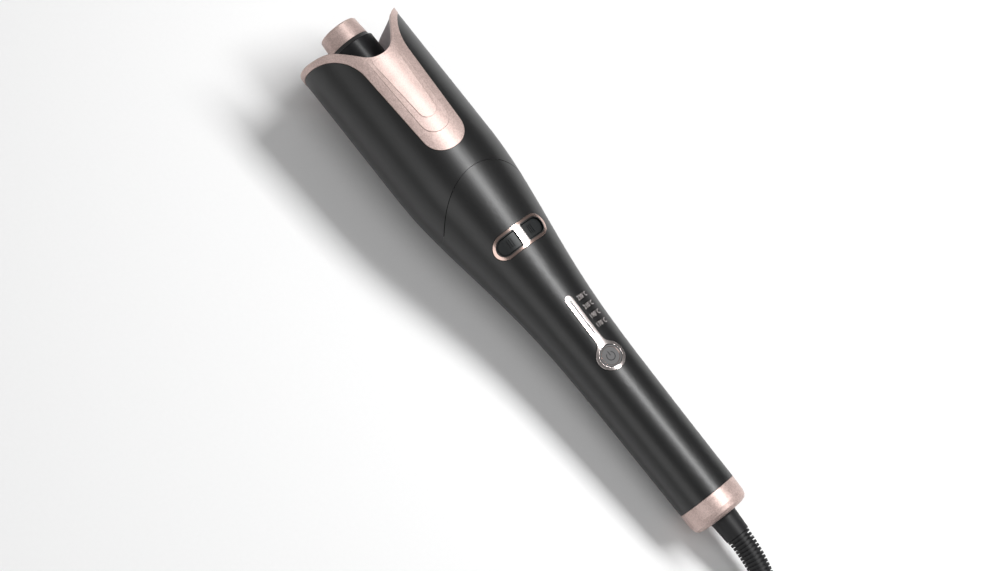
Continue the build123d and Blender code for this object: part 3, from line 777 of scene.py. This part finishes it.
for name, outline in (("direction_joint", switch_outline(JOINT_WIDE / 2)),
                      ("thermometer_joint", thermometer_outline(JOINT_WIDE / 2))):
    band = laid(outline_band(outline, JOINT_WIDE), [handle_surface], JOINT_LIFT)
    piece(name, band, "housing", joint_finish)

# %% Joint between the casings
SEAM_TOP, SEAM_R, SEAM_REACH = 211.0, 29.0, 26.5
SEAM_WIDE, SEAM_LIFT = 0.34, 0.03
seam_lean = math.degrees(math.acos(SEAM_REACH / SEAM_R))
seam = arc((0, SEAM_TOP - SEAM_R), SEAM_R, 180 - seam_lean, seam_lean, steps=60)
seam_band = outline_band(seam, SEAM_WIDE, closed=False)
laid(seam_band, [handle_surface, surface_of("head_shell")], SEAM_LIFT)
piece("casing_joint", seam_band, "housing", joint_finish)
print("joints drawn")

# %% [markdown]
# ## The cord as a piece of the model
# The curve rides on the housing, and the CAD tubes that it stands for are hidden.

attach(mains_cord, "housing")
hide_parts("cord_lead", "cord_coil", "cord_tail")

# %% [markdown]
# ## Floor and light
# A wide pale floor takes the soft shadow of a key light low on the right, and a weaker
# front light softens it. Neither is seen in reflections. A third light is seen in
# nothing else: it draws the long highlight down the handle and across the trim. A
# fill light on the left keeps the dark side readable, and a pale world does the rest.

# %% Floor
FLOOR_HALF = 4  # in metres
floor_mesh = bpy.data.meshes.new("studio_floor")
shape = bmesh.new()
bmesh.ops.create_grid(shape, x_segments=8, y_segments=8, size=FLOOR_HALF)
shape.to_mesh(floor_mesh)
shape.free()
studio_floor = bpy.data.objects.new("studio_floor", floor_mesh)
bpy.context.scene.collection.objects.link(studio_floor)
paper = Finish("studio_paper")
fibre = paper.cloud(2.0)
floor_mesh.materials.append(paper.done(
    Base_Color=paper.between(fibre, (0.86, 0.86, 0.86), (0.88, 0.88, 0.88)),
    Roughness=0.85,
    Specular_IOR_Level=0.1,
))

# %% Lights
def soft_light(name, right, up, near, size, power, tones=True, streaks=True):
    """A softbox placed by the camera's own right, up and towards, in metres.

    One without tones is seen in reflections only, one without streaks never is.
    """
    aim = tool_point(*LOOK_AT)
    where = aim + camera_x * right + camera_y * up - sight * near
    lamp = bpy.data.lights.new(name, "AREA")
    lamp.shape = "RECTANGLE"
    lamp.size, lamp.size_y = size
    lamp.energy = power
    thing = bpy.data.objects.new(name, lamp)
    facing = (where - aim).normalized()
    long_way = (head_way - facing * head_way.dot(facing)).normalized()
    turned = Matrix((long_way.cross(facing), long_way, facing)).transposed().to_4x4()
    thing.matrix_world = Matrix.Translation(where) @ turned
    thing.visible_diffuse = tones
    thing.visible_glossy = streaks
    bpy.context.scene.collection.objects.link(thing)


soft_light(
    "key", right=0.70, up=0.55, near=0.56, size=(0.24, 0.9), power=13, streaks=False)
soft_light(
    "front", right=0.30, up=0.24, near=1.1, size=(0.6, 1.1), power=2.6, streaks=False)
soft_light(
    "streak", right=0.66, up=0.52, near=1.14, size=(0.20, 1.2), power=22, tones=False)
soft_light("fill", right=-0.60, up=-0.45, near=0.85, size=(0.6, 1.0), power=3.1)

WORLD_LIGHT = 0.17
world = bpy.data.worlds.new("studio")
world.use_nodes = True
backdrop = world.node_tree.nodes["Background"]
backdrop.inputs["Color"].default_value = (1, 1, 1, 1)
backdrop.inputs["Strength"].default_value = WORLD_LIGHT
bpy.context.scene.world = world
bpy.context.scene.view_settings.view_transform = "Standard"

# %% [markdown]
# The last cell brings the scene up to date.

# %% The end
bpy.context.view_layer.update()
